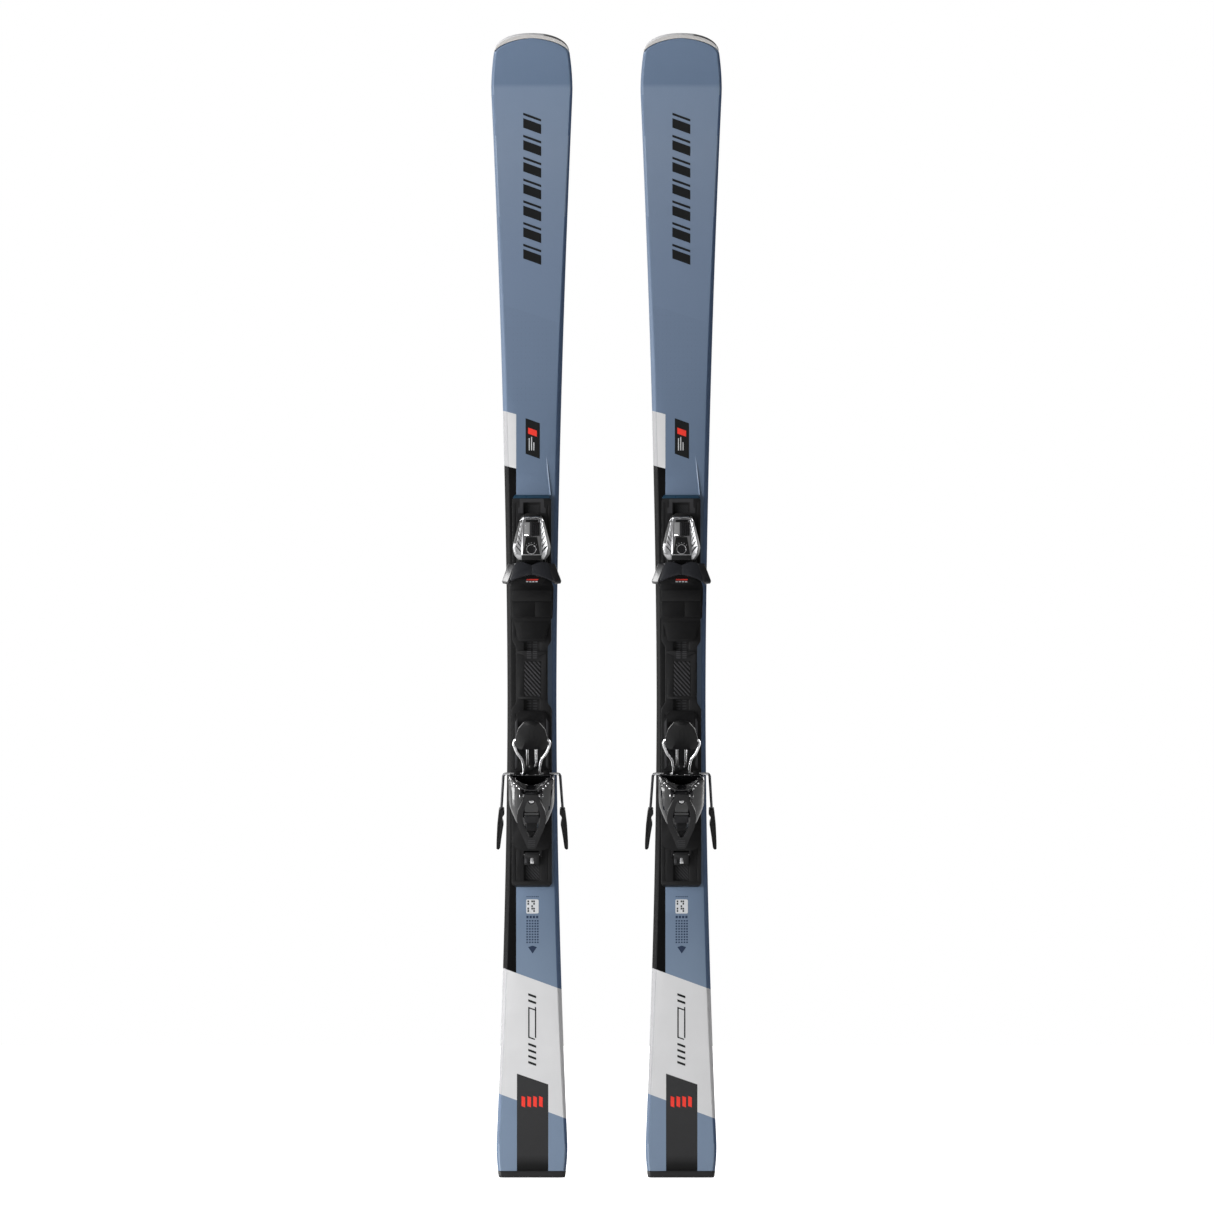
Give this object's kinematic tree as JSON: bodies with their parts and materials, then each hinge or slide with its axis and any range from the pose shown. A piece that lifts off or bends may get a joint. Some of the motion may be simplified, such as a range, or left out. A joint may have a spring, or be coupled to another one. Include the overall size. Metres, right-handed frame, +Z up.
{
  "type": "alpine skis with bindings",
  "caption": "Pair of sidecut alpine skis standing upright, with plate-mounted release bindings and ski brakes; toe and heel pieces slide along the plate to suit a boot's length.",
  "frame": {"origin": "on the floor, midway between the skis' centre lines, in the plane of their running bases", "axes": "+Z up, from the tails to the tips; the skis' tops face -Y; +X to the right as their tops are seen"},
  "size_m": [0.343, 0.1377, 1.6999],
  "materials": {
    "topsheet": "satin, with a fine woven texture",
    "running_base": "waxed, with fine lengthwise structure",
    "edge_steel": "ground",
    "wood_core": "raw laminate",
    "sidewall": "satin",
    "tip_guard": "smooth",
    "tail_guard": "moulded",
    "binding_plate": "moulded",
    "toe_base": "moulded",
    "toe_housing": "polished",
    "toe_wing": "gloss",
    "toe_pad": "smooth, low friction",
    "bright_steel": "polished",
    "spring_steel": "oiled",
    "brake_plastic": "moulded",
    "heel_base": "moulded",
    "heel_cup": "gloss",
    "heel_lever": "moulded"
  },
  "bodies": {
    "ski1": {"ski1_running_base": "running_base", "ski1_core": "wood_core", "ski1_topsheet": "topsheet", "ski1_tip_guard": "tip_guard", "ski1_tail_guard": "tail_guard", "ski1_edge_left": "edge_steel", "ski1_edge_right": "edge_steel", "ski1_sidewall_left": "sidewall", "ski1_sidewall_right": "sidewall", "ski1_binding_plate": "binding_plate", "ski1_track_cover": "binding_plate"},
    "ski1_toe": {"ski1_toe_base": "toe_base", "ski1_toe_housing": "toe_housing", "ski1_toe_spring": "spring_steel"},
    "ski1_toe_screw": {"ski1_toe_screw": "bright_steel"},
    "ski1_toe_wing_left": {"ski1_toe_wing_left": "toe_wing"},
    "ski1_toe_wing_right": {"ski1_toe_wing_right": "toe_wing"},
    "ski1_afd_plate": {"ski1_afd_plate": "toe_pad"},
    "ski1_heel": {"ski1_heel_base": "heel_base"},
    "ski1_heel_cup": {"ski1_heel_cup": "heel_cup", "ski1_heel_spring": "spring_steel"},
    "ski1_heel_screw": {"ski1_heel_screw": "bright_steel"},
    "ski1_heel_lever": {"ski1_heel_lever": "heel_lever"},
    "ski1_brake_pedal": {"ski1_brake_pedal": "brake_plastic", "ski1_brake_link": "bright_steel"},
    "ski1_brake_arms": {"ski1_brake_arm_left": "bright_steel", "ski1_brake_arm_right": "bright_steel", "ski1_brake_tip_left": "brake_plastic", "ski1_brake_tip_right": "brake_plastic"},
    "ski1_track_latch": {"ski1_track_latch": "heel_base"},
    "ski2": {"ski2_running_base": "running_base", "ski2_core": "wood_core", "ski2_topsheet": "topsheet", "ski2_tip_guard": "tip_guard", "ski2_tail_guard": "tail_guard", "ski2_edge_left": "edge_steel", "ski2_edge_right": "edge_steel", "ski2_sidewall_left": "sidewall", "ski2_sidewall_right": "sidewall", "ski2_binding_plate": "binding_plate", "ski2_track_cover": "binding_plate"},
    "ski2_toe": {"ski2_toe_base": "toe_base", "ski2_toe_housing": "toe_housing", "ski2_toe_spring": "spring_steel"},
    "ski2_toe_screw": {"ski2_toe_screw": "bright_steel"},
    "ski2_toe_wing_left": {"ski2_toe_wing_left": "toe_wing"},
    "ski2_toe_wing_right": {"ski2_toe_wing_right": "toe_wing"},
    "ski2_afd_plate": {"ski2_afd_plate": "toe_pad"},
    "ski2_heel": {"ski2_heel_base": "heel_base"},
    "ski2_heel_cup": {"ski2_heel_cup": "heel_cup", "ski2_heel_spring": "spring_steel"},
    "ski2_heel_screw": {"ski2_heel_screw": "bright_steel"},
    "ski2_heel_lever": {"ski2_heel_lever": "heel_lever"},
    "ski2_brake_pedal": {"ski2_brake_pedal": "brake_plastic", "ski2_brake_link": "bright_steel"},
    "ski2_brake_arms": {"ski2_brake_arm_left": "bright_steel", "ski2_brake_arm_right": "bright_steel", "ski2_brake_tip_left": "brake_plastic", "ski2_brake_tip_right": "brake_plastic"},
    "ski2_track_latch": {"ski2_track_latch": "heel_base"}
  },
  "joints": [
    {"name": "ski2_apart", "type": "slide", "parent": "ski1", "child": "ski2", "axis": [1, 0, 0], "range_m": [-0.09, 0.2]},
    {"name": "ski1_toe_slide", "type": "slide", "parent": "ski1", "child": "ski1_toe", "axis": [0, 0, 1], "range_m": [-0.012, 0.024]},
    {"name": "ski1_toe_screw_turn", "type": "hinge", "parent": "ski1_toe", "child": "ski1_toe_screw", "pos_m": [-0.111, -0.0675, 0.9345], "axis": [0, -1, 0], "range_deg": [-1260, 1260]},
    {"name": "ski1_toe_wing_left_turn", "type": "hinge", "parent": "ski1_toe", "child": "ski1_toe_wing_left", "pos_m": [-0.1235, -0.0425, 0.905], "axis": [0, 1, 0], "range_deg": [0, 25], "stiffness_Nm_per_rad": 15, "springref_deg": -8.59},
    {"name": "ski1_toe_wing_right_turn", "type": "hinge", "parent": "ski1_toe", "child": "ski1_toe_wing_right", "pos_m": [-0.0985, -0.0425, 0.905], "axis": [0, -1, 0], "range_deg": [0, 25], "stiffness_Nm_per_rad": 15, "springref_deg": -8.59},
    {"name": "ski1_afd_slide", "type": "slide", "parent": "ski1_toe", "child": "ski1_afd_plate", "axis": [1, 0, 0], "range_m": [-0.006, 0.006], "stiffness_N_per_m": 400},
    {"name": "ski1_heel_slide", "type": "slide", "parent": "ski1", "child": "ski1_heel", "axis": [0, 0, 1], "range_m": [-0.04, 0.014]},
    {"name": "ski1_heel_cup_turn", "type": "hinge", "parent": "ski1_heel", "child": "ski1_heel_cup", "pos_m": [-0.111, -0.044, 0.572], "axis": [1, 0, 0], "range_deg": [-35, 0]},
    {"name": "ski1_heel_lever_turn", "type": "hinge", "parent": "ski1_heel_cup", "child": "ski1_heel_lever", "pos_m": [-0.111, -0.08988, 0.5704], "axis": [1, 0, 0], "range_deg": [-18, 0]},
    {"name": "ski1_heel_screw_turn", "type": "hinge", "parent": "ski1_heel_cup", "child": "ski1_heel_screw", "pos_m": [-0.111, -0.07579, 0.56439], "axis": [0, -0.8192, -0.5736], "range_deg": [-1260, 1260]},
    {"name": "ski1_brake_pedal_turn", "type": "hinge", "parent": "ski1_heel", "child": "ski1_brake_pedal", "pos_m": [-0.111, -0.034, 0.612], "axis": [1, 0, 0], "range_deg": [-35, 0], "stiffness_Nm_per_rad": 2, "springref_deg": 28.65},
    {"name": "ski1_brake_arms_turn", "type": "hinge", "parent": "ski1_heel", "child": "ski1_brake_arms", "pos_m": [-0.111, -0.034, 0.6014], "axis": [1, 0, 0], "range_deg": [-29, 0]},
    {"name": "ski1_track_latch_turn", "type": "hinge", "parent": "ski1_heel", "child": "ski1_track_latch", "pos_m": [-0.111, -0.0316, 0.4815], "axis": [1, 0, 0], "range_deg": [-20, 0], "stiffness_Nm_per_rad": 0.2, "springref_deg": 17.19},
    {"name": "ski2_toe_slide", "type": "slide", "parent": "ski2", "child": "ski2_toe", "axis": [0, 0, 1], "range_m": [-0.012, 0.024]},
    {"name": "ski2_toe_screw_turn", "type": "hinge", "parent": "ski2_toe", "child": "ski2_toe_screw", "pos_m": [0.111, -0.0675, 0.9345], "axis": [0, -1, 0], "range_deg": [-1260, 1260]},
    {"name": "ski2_toe_wing_left_turn", "type": "hinge", "parent": "ski2_toe", "child": "ski2_toe_wing_left", "pos_m": [0.0985, -0.0425, 0.905], "axis": [0, 1, 0], "range_deg": [0, 25], "stiffness_Nm_per_rad": 15, "springref_deg": -8.59},
    {"name": "ski2_toe_wing_right_turn", "type": "hinge", "parent": "ski2_toe", "child": "ski2_toe_wing_right", "pos_m": [0.1235, -0.0425, 0.905], "axis": [0, -1, 0], "range_deg": [0, 25], "stiffness_Nm_per_rad": 15, "springref_deg": -8.59},
    {"name": "ski2_afd_slide", "type": "slide", "parent": "ski2_toe", "child": "ski2_afd_plate", "axis": [1, 0, 0], "range_m": [-0.006, 0.006], "stiffness_N_per_m": 400},
    {"name": "ski2_heel_slide", "type": "slide", "parent": "ski2", "child": "ski2_heel", "axis": [0, 0, 1], "range_m": [-0.04, 0.014]},
    {"name": "ski2_heel_cup_turn", "type": "hinge", "parent": "ski2_heel", "child": "ski2_heel_cup", "pos_m": [0.111, -0.044, 0.572], "axis": [1, 0, 0], "range_deg": [-35, 0]},
    {"name": "ski2_heel_lever_turn", "type": "hinge", "parent": "ski2_heel_cup", "child": "ski2_heel_lever", "pos_m": [0.111, -0.08988, 0.5704], "axis": [1, 0, 0], "range_deg": [-18, 0]},
    {"name": "ski2_heel_screw_turn", "type": "hinge", "parent": "ski2_heel_cup", "child": "ski2_heel_screw", "pos_m": [0.111, -0.07579, 0.56439], "axis": [0, -0.8192, -0.5736], "range_deg": [-1260, 1260]},
    {"name": "ski2_brake_pedal_turn", "type": "hinge", "parent": "ski2_heel", "child": "ski2_brake_pedal", "pos_m": [0.111, -0.034, 0.612], "axis": [1, 0, 0], "range_deg": [-35, 0], "stiffness_Nm_per_rad": 2, "springref_deg": 28.65},
    {"name": "ski2_brake_arms_turn", "type": "hinge", "parent": "ski2_heel", "child": "ski2_brake_arms", "pos_m": [0.111, -0.034, 0.6014], "axis": [1, 0, 0], "range_deg": [-29, 0]},
    {"name": "ski2_track_latch_turn", "type": "hinge", "parent": "ski2_heel", "child": "ski2_track_latch", "pos_m": [0.111, -0.0316, 0.4815], "axis": [1, 0, 0], "range_deg": [-20, 0], "stiffness_Nm_per_rad": 0.2, "springref_deg": 17.19}
  ],
  "couplings": [
    {"joint": "ski1_heel_lever_turn", "follows": "ski1_heel_cup_turn", "ratio": 0.5},
    {"joint": "ski1_brake_arms_turn", "follows": "ski1_brake_pedal_turn", "ratio": 0.82857},
    {"joint": "ski2_heel_lever_turn", "follows": "ski2_heel_cup_turn", "ratio": 0.5},
    {"joint": "ski2_brake_arms_turn", "follows": "ski2_brake_pedal_turn", "ratio": 0.82857}
  ]
}
